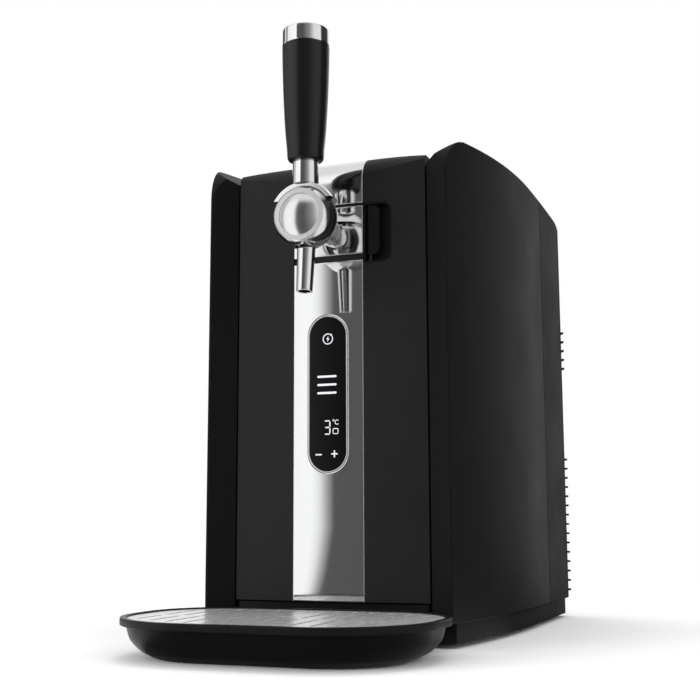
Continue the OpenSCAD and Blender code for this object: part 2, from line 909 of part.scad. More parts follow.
module door_shell() {
    side = door_edge - door_wall;
    color("#1c1d1f") difference() {
        door_form(0, door_bottom);
        difference() {
            door_form(door_wall, door_bottom + door_wall);
            // Knuckles stay solid round the hinge line.
            for (z = hinge_zs) translate([hinge_x, hinge_y, z - knuckle_h])
                cylinder(h = 2 * knuckle_h, r = knuckle_r);
        }
        span([-side, door_depth - door_lip, door_bottom + door_wall],
            [side, far, door_top - door_crown - door_wall]);
        strip_channel(panel_fit);
        hinge_notch();
        for (z = hinge_zs) translate([hinge_x, hinge_y, z - knuckle_h + knuckle_cap])
            cylinder(h = 2 * (knuckle_h - knuckle_cap), r = hinge_pin_r + hinge_fit);
        along_y(cut_front, cup_depth - cut_front) cup_2d(panel_fit);
        along_y(cut_front, far) display_2d(panel_fit);
        rod_y(0, ball_z, shank_r + panel_fit, cut_front, far);
    }
}

module door_liner() {
    edge = door_edge - liner_in;
    top = door_top - door_crown - liner_drop;
    color("#d6d7d6") difference() {
        span([-edge, liner_y, door_bottom + liner_rise], [edge, liner_y + liner_t, top]);
        hinge_notch();
        rod_y(0, ball_z, shank_r + panel_fit, 0, far);
    }
}

module door_seal() {
    in_x = chamber_r + seal_side;
    out_x = in_x + seal_w;
    over = seal_over + seal_w;
    color("#3c3d3f") difference() {
        span([-out_x, seal_y, chamber_floor - over], [out_x, seal_y + seal_t, chamber_top + over]);
        span([-in_x, 0, chamber_floor - seal_over], [in_x, far, chamber_top + seal_over]);
        hinge_notch();
    }
}

module strip_piece(low, high) {
    intersection() {
        difference() {
            door_form(0, door_bottom);
            door_form(strip_t, 0);
        }
        span([-strip_w / 2, cut_front, low], [strip_w / 2, far, high]);
    }
}

module strip_upper() {
    color("#cfd1d3") strip_piece(upper_slot_z + upper_slot_h, door_top + 1);
}

module tap_plate() {
    color("#cfd1d3") difference() {
        strip_piece(tap_plate_bottom, upper_slot_z);
        rod_y(0, ball_z, shank_r + panel_fit, cut_front, far);
    }
}

module strip_lower() {
    color("#cfd1d3") difference() {
        strip_piece(door_bottom + strip_foot, lower_strip_top);
        along_y(cut_front, far) display_2d(panel_fit);
    }
}

module latch_cup() {
    color("#0d0d0e") difference() {
        intersection() {
            along_y(0, cup_depth) cup_2d(0);
            door_form(cover_fit, 0);
        }
        along_y(cut_front, cup_depth - cup_wall - cut_front) cup_2d(-cup_wall);
        translate([latch_x, latch_y, 0]) cylinder(h = far, r = latch_pin_r);
    }
}

module latch_pin() {
    color("#a8aaad") translate([latch_x, latch_y, cup_bottom + latch_pin_in])
        cylinder(h = cup_top - cup_bottom - 2 * latch_pin_in, r = latch_pin_r);
}

module latch_lever() {
    color("#151517") difference() {
        union() {
            translate([latch_x, latch_y, lever_bottom])
                cylinder(h = lever_top - lever_bottom, r = latch_barrel_r);
            intersection() {
                along_y(latch_y - latch_barrel_r, lever_t) rounded_2d(
                    [latch_x - lever_corner_r, lever_bottom], [lever_right, lever_top], lever_corner_r);
                span([latch_x, 0, 0], [far, far, far]);
            }
        }
        translate([latch_x, latch_y, 0]) cylinder(h = far, r = latch_pin_r + run_fit);
    }
}

// Display

module display_glass() {
    color("#050506") along_y(marks_t, glass_t) display_2d(-bezel_w - run_fit);
}

module display_bezel() {
    color("#c9cbcd") along_y(-marks_t, glass_t + 2 * marks_t) difference() {
        display_2d(0);
        display_2d(-bezel_w);
    }
}

module display_marks() {
    color("#f2f4f5") along_y(0, marks_t) translate([0, display_bottom]) {
        translate([0, ring_z]) difference() {
            circle(ring_r);
            circle(ring_r - ring_w);
        }
        for (mark = marks) translate([mark[0] - mark[2] / 2, mark[1] - mark[3] / 2])
            square([mark[2], mark[3]]);
    }
}

module control_board() {
    color("#1f5a34") span([-control_w / 2, control_y, display_bottom + control_in],
        [control_w / 2, control_y + board_t, display_bottom + display_len - control_in]);
    color("#1f1f22") translate([-control_part[0] / 2, control_y + board_t - eps,
        display_bottom + control_part_z]) cube(control_part);
}

// Tap

module tap_shank() {
    start = ball_y + ball_r - shank_in;
    color("#c2c4c7") difference() {
        rod_y(0, ball_z, shank_r, start, liner_y + liner_t - start - pin_short);
        rod_y(0, ball_z - way_drop, beer_way_r, start - 1, far);
    }
}

module tap_nut() {
    color("#8f9296") difference() {
        translate([0, nut_y, ball_z]) rotate([-90, 30, 0])
            cylinder(h = nut_t, r = shank_r + nut_wall, $fn = 6);
        rod_y(0, ball_z, shank_r + run_fit, 0, far);
    }
}

// The stem's swing as a Y-Z outline about the ball's centre, before it leans.
module stem_slot_2d() {
    half = stem_r + stem_gap;
    reach = ball_r + 1;
    c = cos(handle_swing);
    s = sin(handle_swing);
    polygon([[half, 0], [half, reach], [-half, reach], [half * c - reach * s, half * s + reach * c],
        [-half * c - reach * s, reach * c - half * s], [-half * c, -half * s]]);
}

module tap_ball() {
    tail_half = tail_ball_r + stem_gap;
    color("#d5d7d9") translate([0, ball_y, ball_z]) difference() {
        sphere(ball_r);
        // Seats for the face, the shank and the spout.
        rod_y(0, 0, face_r + face_fit, -ball_r - 1, ball_r + 1 + face_seat_y);
        rod_y(0, 0, shank_r + run_fit, ball_r - shank_in, far);
        rotate([-spout_lean, 0, 0]) translate([0, 0, -ball_r - 1])
            cylinder(h = 1 + spout_in, r = spout_r + spout_taper + panel_fit);
        // The beer way comes in from the back and turns down.
        rod_y(0, -way_drop, beer_way_r, 0, far);
        translate([0, 0, -ball_r]) cylinder(h = ball_r - way_drop, r = beer_way_r);
        // Room for the stem, its eye and its tail, and the cross pin's hole.
        along_x(2 * (stem_r + stem_gap)) rotate(-stem_lean) stem_slot_2d();
        along_x(stem_eye_w + 2 * stem_gap) circle(stem_eye_r + stem_gap);
        span([-tail_half, -tail_half, -way_drop], [tail_half, way_drop, 0]);
        translate([-far, 0, 0]) rotate([0, 90, 0]) cylinder(h = far + pivot_right, r = pivot_r);
    }
}

module tap_face() {
    color("#b4b6b9") translate([0, ball_y, ball_z]) intersection() {
        sphere(ball_r - marks_t);
        rod_y(0, 0, face_r, -ball_r, ball_r + face_seat_y - run_fit);
    }
}

module tap_pivot() {
    left = -ball_r + 1;
    color("#b6b8bb") translate([left, ball_y, ball_z]) rotate([0, 90, 0])
        cylinder(h = pivot_right - left, r = pivot_r);
}

module spout() {
    top = -ball_r + spout_in;
    color("#d5d7d9") translate([0, ball_y, ball_z]) rotate([-spout_lean, 0, 0]) difference() {
        translate([0, 0, top - spout_len]) cylinder(h = spout_len, r1 = spout_r, r2 = spout_r + spout_taper);
        translate([0, 0, top - spout_len - 1]) cylinder(h = spout_len + 2, r = spout_bore_r);
    }
}

module tap_plunger() {
    color("#e6e4dc") rod_y(0, ball_z - way_drop, beer_way_r - run_fit, ball_y + tail_ball_r + plunger_gap,
        plunger_len);
}

module stem_rod() {
    rotate([-stem_lean, 0, 0]) cylinder(h = stem_top, r = stem_r);
}

module handle_stem() {
    color("#c2c4c7") translate([0, ball_y, ball_z]) difference() {
        union() {
            along_x(stem_eye_w) circle(stem_eye_r);
            stem_rod();
            translate([0, 0, -way_drop]) cylinder(h = way_drop, r = tail_r);
            translate([0, 0, -way_drop]) sphere(tail_ball_r);
        }
        along_x(far) circle(pivot_r + run_fit);
    }
}

module handle_collar() {
    color("#d5d7d9") translate([0, ball_y, ball_z]) intersection() {
        difference() {
            sphere(collar_r);
            sphere(ball_r + collar_gap);
            stem_rod();
        }
        translate([-far / 2, -collar_front, collar_rise]) cube([far, far, far]);
    }
}

module handle_neck() {
    low = collar_r - 2;
    color("#d5d7d9") translate([0, ball_y, ball_z]) difference() {
        translate([0, 0, low]) cylinder(h = grip_bottom - ball_z - low, r = neck_r);
        sphere(collar_r);
    }
}

module handle_grip() {
    // The foot rounds over in three facets from the side to the underside.
    color("#141415") translate([0, ball_y, grip_bottom]) rotate_extrude() polygon([[0, 0],
        [grip_low_r - grip_foot_w, 0], [grip_low_r - grip_foot_w / 3, grip_foot_h / 5],
        [grip_low_r - grip_foot_w / 12, grip_foot_h / 2], [grip_low_r, grip_foot_h],
        [grip_mid_r, grip_len / 2], [grip_high_r, grip_len], [0, grip_len]]);
}

module handle_cap() {
    edge = 2;
    color("#d5d7d9") translate([0, ball_y, grip_bottom + grip_len]) rotate_extrude() {
        square([grip_high_r - edge, cap_len]);
        square([grip_high_r, cap_len - edge]);
        translate([grip_high_r - edge, cap_len - edge]) intersection() {
            circle(edge);
            square(edge);
        }
    }
}

// Drip tray

module tray_plan(inset) {
    half = tray_w / 2 - inset;
    front = -tray_reach + inset;
    back = -tray_back - inset;
    fr = tray_corner_r - inset;
    br = max(tray_back_r - inset, 2);
    translate([-half + fr, front]) square([2 * (half - fr), back - front]);
    translate([-half, front + fr]) square([2 * half, back - br - front - fr]);
    translate([-half + br, back - br]) square([2 * (half - br), br]);
    for (s = [-1, 1]) {
        translate([s * (half - fr), front + fr]) circle(fr);
        translate([s * (half - br), back - br]) circle(br);
    }
}

module bowl_form(inset) {
    hull() for (step = bowl_steps) translate([0, 0, step[1] * (rim_z - bowl_slab)])
        linear_extrude(bowl_slab)
            tray_plan(bowl_top_inset + step[0] * (bowl_inset - bowl_top_inset) + inset, $fn = 48);
}

module tray_bowl() {
    color("#161618") difference() {
        union() {
            bowl_form(0);
            // Two tongues reach back to the base.
            for (side = [-1, 1]) translate([side * tongue_x, 0, 0])
                span([-tongue_w / 2, -tray_back - bowl_inset, tongue_z],
                    [tongue_w / 2, door_bow - tongue_gap, tongue_z + tongue_t]);
        }
        translate([0, 0, bowl_wall]) bowl_form(bowl_wall);
    }
}

module tray_rim() {
    color("#161618") difference() {
        translate([0, 0, rim_z]) linear_extrude(rim_h) tray_plan(0);
        translate([0, 0, ledge_z]) linear_extrude(far) tray_plan(rim_w);
        translate([0, 0, rim_z - 1]) linear_extrude(far) tray_plan(rim_w + ledge_w);
    }
}

module grate_slots() {
    for (i = [-slot_cols : slot_cols]) translate([i * slot_pitch, 0]) {
        // The columns draw in from the front and the back towards the rounded corners.
        draw = pow(abs(i) / slot_cols, 3);
        start = slot_front + slot_arc * draw;
        translate([0, start]) slot_2d(slot_w, slot_split - slot_land - start);
        if (i != 0) translate([0, slot_split + slot_land])
            slot_2d(slot_w, slot_back - slot_back_arc * draw - slot_split - slot_land);
    }
}

module grate() {
    color("#c6c8ca") translate([0, 0, ledge_z + rest_gap]) linear_extrude(grate_t) difference() {
        tray_plan(grate_in);
        grate_slots();
        translate([-float_w / 2 - float_gap, float_y - float_gap])
            square([float_w + 2 * float_gap, float_d + 2 * float_gap]);
    }
}

module level_float() {
    color("#0c0c0c") translate([-float_w / 2, float_y, bowl_wall + float_lift])
        cube([float_w, float_d, tray_h - grate_seat - bowl_wall - 1]);
}

// Hinge hardware and screws

module hinge_brackets() {
    color("#8d9094") for (z = hinge_zs) difference() {
        union() {
            span([hinge_x - arm_r, hinge_y, z - arm_t / 2], [hinge_x + arm_r, frame_y, z + arm_t / 2]);
            translate([hinge_x, hinge_y, z - arm_t / 2]) cylinder(h = arm_t, r = arm_r);
        }
        translate([hinge_x, hinge_y, z - far / 2]) cylinder(h = far, r = hinge_pin_r);
    }
}

module hinge_pins() {
    half = knuckle_h - knuckle_cap - pin_short;
    color("#b6b8bb") for (z = hinge_zs) translate([hinge_x, hinge_y, z - half])
        cylinder(h = 2 * half, r = hinge_pin_r);
}

// A flat block of the door's catch, from y0 to y1.
module catch_block(y0, y1) {
    span([catch_x - catch_w / 2, y0, catch_z - catch_h / 2],
        [catch_x + catch_w / 2, y1, catch_z + catch_h / 2]);
}

module catch_magnet() {
    color("#3d3d40") catch_block(seal_y + catch_plate_t + catch_gap, frame_y);
}

module catch_plate() {
    color("#8d9094") catch_block(seal_y, seal_y + catch_plate_t);
}

module body_screws() {
    color("#9a9ca0") at_screws() {
        translate([0, 0, base_bottom - screw_head_h]) cylinder(h = screw_head_h, r = screw_head_r);
        translate([0, 0, base_bottom]) cylinder(h = deck_top - base_bottom, r = screw_r);
    }
}

placed() base_pan();
placed() feet();
placed() deck();
placed() plinth();
placed() left_shell();
placed() right_shell();
placed() top_cover();
placed() back_cover();
placed() inner_frame();
placed() keg_chamber();
placed() insulation();
placed() keg_seat();
placed() cooling_block();
placed() cooler_module();
placed() heat_sink();
placed() fan_frame();
placed() fan_rotor();
placed() air_pump();
placed() air_connector();
placed() air_hose();
placed() power_board();
placed() power_inlet();
placed() hinge_brackets();
placed() hinge_pins();
placed() catch_magnet();
placed() catch_plate();
placed() door_shell();
placed() door_liner();
placed() door_seal();
placed() strip_upper();
placed() tap_plate();
placed() strip_lower();
placed() latch_cup();
placed() latch_pin();
placed() latch_lever();
placed() display_glass();
placed() display_bezel();
placed() display_marks();
placed() control_board();
placed() tap_shank();
placed() tap_nut();
placed() tap_ball();
placed() tap_face();
placed() tap_pivot();
placed() spout();
placed() tap_plunger();
placed() handle_stem();
placed() handle_collar();
placed() handle_neck();
placed() handle_grip();
placed() handle_cap();
placed() tray_bowl();
placed() tray_rim();
placed() grate();
placed() level_float();
placed() body_screws();
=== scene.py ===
import math

import bmesh
import bpy
from mathutils import Matrix, Vector


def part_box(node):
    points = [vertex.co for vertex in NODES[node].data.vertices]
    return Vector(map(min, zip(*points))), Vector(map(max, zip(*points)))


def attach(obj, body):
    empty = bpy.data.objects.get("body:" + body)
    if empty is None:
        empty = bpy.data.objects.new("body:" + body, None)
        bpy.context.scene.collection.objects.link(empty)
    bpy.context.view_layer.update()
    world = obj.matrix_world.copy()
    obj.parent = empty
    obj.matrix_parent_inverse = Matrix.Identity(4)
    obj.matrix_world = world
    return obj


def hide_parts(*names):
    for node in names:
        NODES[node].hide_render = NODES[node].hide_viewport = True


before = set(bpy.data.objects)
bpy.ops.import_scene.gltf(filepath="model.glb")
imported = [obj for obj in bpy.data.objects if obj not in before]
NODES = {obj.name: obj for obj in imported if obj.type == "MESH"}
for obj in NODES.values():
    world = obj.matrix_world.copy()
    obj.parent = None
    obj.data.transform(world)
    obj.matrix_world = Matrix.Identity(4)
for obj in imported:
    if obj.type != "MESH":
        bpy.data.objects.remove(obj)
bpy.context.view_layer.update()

MM = 0.001
STRIP_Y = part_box("strip_lower")[0].y


def at(x, y, z):
    return Vector((x * MM, STRIP_Y + y * MM, z * MM))


# ---------------------------------------------------------------- materials

def node(tree, kind, x=0, y=0, **values):
    made = tree.nodes.new(kind)
    made.location = (x, y)
    for key, value in values.items():
        if key in made.inputs:
            made.inputs[key].default_value = value
        else:
            setattr(made, key, value)
    return made


def noise(tree, coords, scale, detail=3.0, rough=0.55, stretch=(1, 1, 1)):
    mapping = node(tree, "ShaderNodeMapping", -900, 0)
    mapping.inputs["Scale"].default_value = stretch
    tree.links.new(coords, mapping.inputs["Vector"])
    made = node(tree, "ShaderNodeTexNoise", -700, 0, Scale=scale, Detail=detail, Roughness=rough)
    tree.links.new(mapping.outputs["Vector"], made.inputs["Vector"])
    return made.outputs["Fac"]


def spread(tree, source, low, high, in_low=0.3, in_high=0.7):
    made = node(tree, "ShaderNodeMapRange", -450, 0)
    made.inputs["From Min"].default_value = in_low
    made.inputs["From Max"].default_value = in_high
    made.inputs["To Min"].default_value = low
    made.inputs["To Max"].default_value = high
    tree.links.new(source, made.inputs["Value"])
    return made.outputs["Result"]


GRAIN_DETAIL, GRAIN_ROUGH = 2.0, 0.6


def finish_of(name, colour, rough, metallic=0.0, vary=0.1, rough_vary=0.05, blotch=14.0, grain=1500.0,
              bump=0.05, depth=0.0001, stretch=(1, 1, 1), ior=1.5, glow=None, edge=0, joint=None):
    """A procedural finish: colour and roughness drift over centimetres, and a fine grain in the bump.
    Edges look rounded to the radius edge, and joint is the y of a painted shadow line across the surface:
    near-black and without reflection, it stands in for the shade in the gap where two parts meet."""
    mat = bpy.data.materials.new(name)
    mat.use_nodes = True
    tree = mat.node_tree
    shader = tree.nodes["Principled BSDF"]
    coords = node(tree, "ShaderNodeTexCoord", -1100, 0).outputs["Object"]
    drift = noise(tree, coords, blotch, stretch=stretch)
    fine = noise(tree, coords, grain, GRAIN_DETAIL, GRAIN_ROUGH, stretch)
    tint = node(tree, "ShaderNodeMix", -200, 200, data_type="RGBA")
    tint.inputs[6].default_value = [c * (1 - vary) for c in colour] + [1]
    tint.inputs[7].default_value = [min(1, c * (1 + vary)) for c in colour] + [1]
    tree.links.new(spread(tree, drift, 0, 1), tint.inputs[0])
    tree.links.new(tint.outputs[2], shader.inputs["Base Color"])
    mix = node(tree, "ShaderNodeMath", -300, -100, operation="MULTIPLY_ADD")
    tree.links.new(spread(tree, fine, -rough_vary, rough_vary), mix.inputs[0])
    mix.inputs[1].default_value = 0.6
    tree.links.new(spread(tree, drift, rough - rough_vary, rough + rough_vary), mix.inputs[2])
    tree.links.new(mix.outputs[0], shader.inputs["Roughness"])
    relief = node(tree, "ShaderNodeBump", -200, -300, Strength=bump, Distance=depth)
    tree.links.new(fine, relief.inputs["Height"])
    tree.links.new(relief.outputs["Normal"], shader.inputs["Normal"])
    if edge:
        rounded = node(tree, "ShaderNodeBevel", -450, -400, samples=8, Radius=edge)
        tree.links.new(rounded.outputs["Normal"], relief.inputs["Normal"])
    # Painted shade: a near-black band without reflection across the surface stands in for the shadow in the gap
    # between two parts.
    if joint is not None:
        split = node(tree, "ShaderNodeSeparateXYZ", -900, 400)
        tree.links.new(coords, split.inputs[0])
        gap_shade_mask = node(tree, "ShaderNodeMath", -700, 400, operation="COMPARE")
        tree.links.new(split.outputs["Y"], gap_shade_mask.inputs[0])
        gap_shade_mask.inputs[1].default_value = joint
        gap_shade_mask.inputs[2].default_value = GAP_SHADE_HALF * MM
        shade = node(tree, "ShaderNodeMix", 0, 300, data_type="RGBA")
        tree.links.new(gap_shade_mask.outputs[0], shade.inputs[0])
        tree.links.new(tint.outputs[2], shade.inputs[6])
        shade.inputs[7].default_value = (0.001, 0.001, 0.001, 1)
        tree.links.new(shade.outputs[2], shader.inputs["Base Color"])
        tree.links.new(spread(tree, gap_shade_mask.outputs[0], 0.5, 0, 0, 1), shader.inputs["Specular IOR Level"])
    shader.inputs["Metallic"].default_value = metallic
    shader.inputs["IOR"].default_value = ior
    if glow:
        shader.inputs["Emission Color"].default_value = (*colour, 1)
        shader.inputs["Emission Strength"].default_value = glow
    return mat


UPRIGHT = (6, 6, 0.25)
# Half the width of the painted shadow line in the gap where a side shell meets the back cover, and its y on the
# shell.
GAP_SHADE_HALF = 0.9
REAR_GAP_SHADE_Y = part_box("right_shell")[1].y - NODES["right_shell"].matrix_world.translation.y
MATS = {
    # The shell's finish carries a painted shadow line at its gap to the back cover.
    "shell": finish_of("shell_black", (0.0072, 0.0074, 0.0082), 0.5, vary=0.06, rough_vary=0.03,
                       grain=2600, bump=0.1, ior=1.22, edge=0.0012, joint=REAR_GAP_SHADE_Y),
    "door": finish_of("door_black", (0.0195, 0.0197, 0.0208), 0.5, vary=0.05, rough_vary=0.03, grain=2600,
                      bump=0.1, ior=1.22, edge=0.0009),
    "matt": finish_of("matt_black", (0.008, 0.008, 0.0085), 0.6, grain=1800, bump=0.2, ior=1.3, edge=0.0008),
    "tray": finish_of("tray_black", (0.0065, 0.0066, 0.0072), 0.38, vary=0.06, rough_vary=0.03, grain=2600,
                      bump=0.08, ior=1.22),
    "rim": finish_of("rim_black", (0.011, 0.0112, 0.012), 0.36, vary=0.05, rough_vary=0.03, grain=2600,
                     bump=0.06, ior=1.22),
    "gloss": finish_of("window_gloss", (0.0025, 0.0025, 0.003), 0.08, rough_vary=0.015, grain=600, bump=0.01,
                       ior=1.3),
    "grip": finish_of("grip_black", (0.0075, 0.0075, 0.008), 0.3, vary=0.06, rough_vary=0.03, grain=2400,
                      bump=0.06, ior=1.4),
    "strip": finish_of("strip_steel", (0.78, 0.785, 0.79), 0.045, 1.0, 0.015, 0.012, 9, 900, 0.02, 0.00002,
                       UPRIGHT, edge=0.0015),
    "grate": finish_of("grate_steel", (0.92, 0.92, 0.92), 0.28, 0.35, 0.04, 0.05, 12, 700, 0.15, 0.00004,
                       (1, 0.05, 1)),
    "chrome": finish_of("chrome", (0.8, 0.805, 0.815), 0.04, 1.0, 0.015, 0.01, 20, 500, 0.01, 0.00002),
    "ball": finish_of("ball_chrome", (0.8, 0.805, 0.815), 0.13, 1.0, 0.015, 0.015, 20, 900, 0.02, 0.00002,
                      edge=0.0006),
    "satin": finish_of("satin_steel", (0.8, 0.805, 0.81), 0.24, 1.0, 0.03, 0.03, 25, 1400, 0.06, 0.00003),
    "rubber": finish_of("rubber", (0.02, 0.02, 0.02), 0.75, vary=0.15, grain=1200, bump=0.3),
    "liner": finish_of("grey_plastic", (0.52, 0.52, 0.51), 0.45, vary=0.04, grain=1600, bump=0.1),
    "foam": finish_of("foam", (0.78, 0.75, 0.66), 0.9, vary=0.06, grain=500, bump=0.6, depth=0.0006),
    "cast": finish_of("cast_aluminium", (0.6, 0.61, 0.63), 0.38, 1.0, 0.06, 0.06, 30, 1100, 0.25),
    "ceramic": finish_of("ceramic", (0.82, 0.82, 0.8), 0.5, vary=0.03, grain=900, bump=0.1),
    "board": finish_of("circuit_board", (0.02, 0.12, 0.05), 0.35, vary=0.2, blotch=60, grain=900, bump=0.1),
    "zinc": finish_of("zinc_plate", (0.5, 0.51, 0.52), 0.36, 1.0, 0.1, 0.08, 45, 900, 0.2),
    "dark": finish_of("dark_moulding", (0.02, 0.02, 0.022), 0.5, vary=0.12, grain=1500, bump=0.2),
    "lit": finish_of("lit_mark", (0.7, 0.72, 0.75), 0.4, vary=0.03, grain=800, glow=0.45),
    "hose": finish_of("clear_hose", (0.7, 0.7, 0.66), 0.3, vary=0.05, grain=800, bump=0.05),
}
FINISH = {
    "shell": "left_shell right_shell top_cover",
    "door": "door_shell",
    "matt": "base_pan plinth back_cover power_inlet",
    "tray": "tray_bowl level_float",
    "rim": "tray_rim latch_cup latch_lever",
    "gloss": "display_glass",
    "grip": "handle_grip",
    "strip": "strip_upper tap_plate strip_lower",
    "grate": "grate",
    "ball": "tap_ball",
    "chrome": "display_bezel tap_shank spout handle_collar handle_neck handle_cap",
    "satin": "tap_face hinge_pins body_screws tap_pivot handle_stem",
    "rubber": "feet door_seal",
    "liner": "keg_chamber door_liner tap_plunger air_connector",
    "foam": "insulation",
    "cast": "cooling_block heat_sink",
    "ceramic": "cooler_module",
    "board": "power_board control_board",
    "zinc": "deck hinge_brackets tap_nut catch_plate",
    "dark": "latch_pin inner_frame keg_seat fan_frame fan_rotor air_pump catch_magnet",
    "lit": "display_marks",
    "hose": "air_hose",
}
for key, names in FINISH.items():
    for name in names.split():
        mesh = NODES[name].data
        mesh.materials.clear()
        mesh.materials.append(MATS[key])

# ---------------------------------------------------------------- soft edges on the CAD nodes

# Edge radius in millimetres, and the nodes that have it.
SOFT = {
    0.8: "latch_cup latch_lever handle_collar",
    0.5: "feet door_liner power_inlet fan_frame air_pump inner_frame",
    0.3: "display_bezel level_float",
}
SHARP_ANGLE = math.radians(32)

for radius, names in SOFT.items():
    for name in names.split():
        weld = NODES[name].modifiers.new("weld", "WELD")
        weld.merge_threshold = 0.00001
        bevel = NODES[name].modifiers.new("bevel", "BEVEL")
        bevel.width = radius * MM
        bevel.segments = 3
        bevel.limit_method = "ANGLE"
        bevel.angle_limit = SHARP_ANGLE
        bevel.face_strength_mode = "FSTR_NEW"
        # The faces keep their own direction up to the rounded edges.
        even = NODES[name].modifiers.new("even", "WEIGHTED_NORMAL")
        even.keep_sharp = False
        even.use_face_influence = True

# ---------------------------------------------------------------- mesh helpers

ARC_STEPS = 6
TURN_STEPS = 128


def filleted(*corners):
    """A path through corners of (across, up, radius), each rounded by about its radius."""
    path = []
    for i, (across, up, radius) in enumerate(corners):
        here = Vector((across, up))
        if radius == 0:
            path.append(here)
            continue
        back = Vector(corners[i - 1][:2]) - here
        ahead = Vector(corners[(i + 1) % len(corners)][:2]) - here
        run = radius / math.tan(back.angle(ahead) / 2)
        start, end = here + back.normalized() * run, here + ahead.normalized() * run
        for k in range(ARC_STEPS + 1):
            t = k / ARC_STEPS
            path.append(start * (1 - t) ** 2 + here * 2 * t * (1 - t) + end * t * t)
    return path


def flowing(*points, steps=8):
    """A smooth path through the points."""
    knots = [Vector(p) for p in points]
    knots = [knots[0] * 2 - knots[1]] + knots + [knots[-1] * 2 - knots[-2]]
    path = []
    for a, b, c, d in zip(knots, knots[1:], knots[2:], knots[3:]):
        for k in range(steps):
            t = k / steps
            path.append(0.5 * (2 * b + (c - a) * t + (2 * a - 5 * b + 4 * c - d) * t * t
                               + (3 * b - a - 3 * c + d) * t ** 3))
    return path + [knots[-2]]


def ring_of(shape, points):
    return [shape.verts.new(p) for p in points]


def bridge(shape, low, high):
    """Faces between two rings, either of which may be a single point."""
    count = max(len(low), len(high))
    for i in range(count):
        j = (i + 1) % count
        corners = [low[i % len(low)], low[j % len(low)], high[j % len(high)], high[i % len(high)]]
        shape.faces.new(list(dict.fromkeys(corners)))


def lathe(shape, path, place, closed=False):
    """Turns a path of (radius, height) in millimetres about the Z axis of place."""
    rings = []
    for radius, height in path:
        turns = TURN_STEPS if radius > 0.001 else 1
        angles = [2 * math.pi * k / turns for k in range(turns)]
        rings.append(ring_of(shape, [place @ Vector((radius * MM * math.cos(a), radius * MM * math.sin(a),
                                                     height * MM)) for a in angles]))
    for low, high in zip(rings, rings[1:] + rings[:1] if closed else rings[1:]):
        bridge(shape, low, high)


def piece_of(name, shape, finish, slot, body, *stands_for):
    """Turns a filled bmesh into a piece that rides on its body."""
    bmesh.ops.recalc_face_normals(shape, faces=shape.faces)
    mesh = bpy.data.meshes.new(name)
    shape.to_mesh(mesh)
    shape.free()
    mesh.shade_smooth()
    mesh.set_sharp_from_angle(angle=SHARP_ANGLE)
    mesh.materials.append(MATS[finish])
    made = bpy.data.objects.new(name, mesh)
    bpy.context.scene.collection.objects.link(made)
    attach(made, body)
    if stands_for:
        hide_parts(*stands_for)
    return made


# ---------------------------------------------------------------- tap and handle

def middle(name):
    low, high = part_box(name)
    return (low + high) / 2


def handle_pieces():
    low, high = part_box("handle_grip")
    axis = Matrix.Translation((middle("handle_grip").x, middle("handle_grip").y, low.z))
    top_r = (high.x - low.x) / 2 / MM
    tall = (high.z - low.z) / MM
    low_r, foot_h, foot_r = top_r - 4.6, 10, 4.6
    grip = bmesh.new()
    foot = filleted((0, 0, 0), (low_r - 0.4, 0, foot_r), (low_r, foot_h, 0))[:-1]
    side = flowing((low_r, foot_h), (low_r + 1.75, tall * 0.28), (low_r + 3.35, tall * 0.55),
                   (low_r + 4.25, tall * 0.8), (top_r, tall - 0.8))
    lathe(grip, foot + side + [(top_r - 0.35, tall - 0.3), (top_r - 0.9, tall), (0, tall)], axis)
    piece_of("grip_moulding", grip, "grip", "black_shell", "handle", "handle_grip")

    low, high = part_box("handle_cap")
    axis = Matrix.Translation((middle("handle_cap").x, middle("handle_cap").y, low.z))
    radius, tall = (high.x - low.x) / 2 / MM, (high.z - low.z) / MM
    cap = bmesh.new()
    lathe(cap, filleted((0, 0, 0), (radius - 0.5, 0, 0), (radius, 0.5, 0), (radius, tall - 1.9, 0.1),
                        (radius - 0.45, tall - 1.6, 0.1), (radius - 0.35, tall, 1.2),
                        (radius * 0.5, tall, 0), (0, tall, 0)), axis)
    piece_of("cap_turned", cap, "chrome", "chrome", "handle", "handle_cap")

    low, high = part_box("handle_neck")
    axis = Matrix.Translation((middle("handle_neck").x, middle("handle_neck").y, low.z))
    radius, tall = (high.x - low.x) / 2 / MM, (high.z - low.z) / MM
    neck = bmesh.new()
    lathe(neck, filleted((0, 0.4, 0), (radius - 0.1, 0.1, 0), (radius, 0.6, 0), (radius, tall - 1.4, 0.2),
                         (radius - 0.4, tall - 1.0, 0.2), (radius - 0.4, tall, 0), (0, tall, 0)), axis)
    piece_of("neck_turned", neck, "chrome", "chrome", "handle", "handle_neck")


# The dome's radius is the ball's, and its rim is the face's.
DOME_R = 27.0
DOME_RIM = 22.0
# The spout leans forwards by SPOUT_LEAN degrees and starts SPOUT_IN inside the ball.
SPOUT_LEAN = 6
SPOUT_LEN = 42
SPOUT_IN = 4.8
SPOUT_BORE = 5.0
SPOUT_TOP_R = 8.0
SPOUT_MOUTH_R = 6.8


def dome_height(radius):
    return math.sqrt(DOME_R ** 2 - radius ** 2)


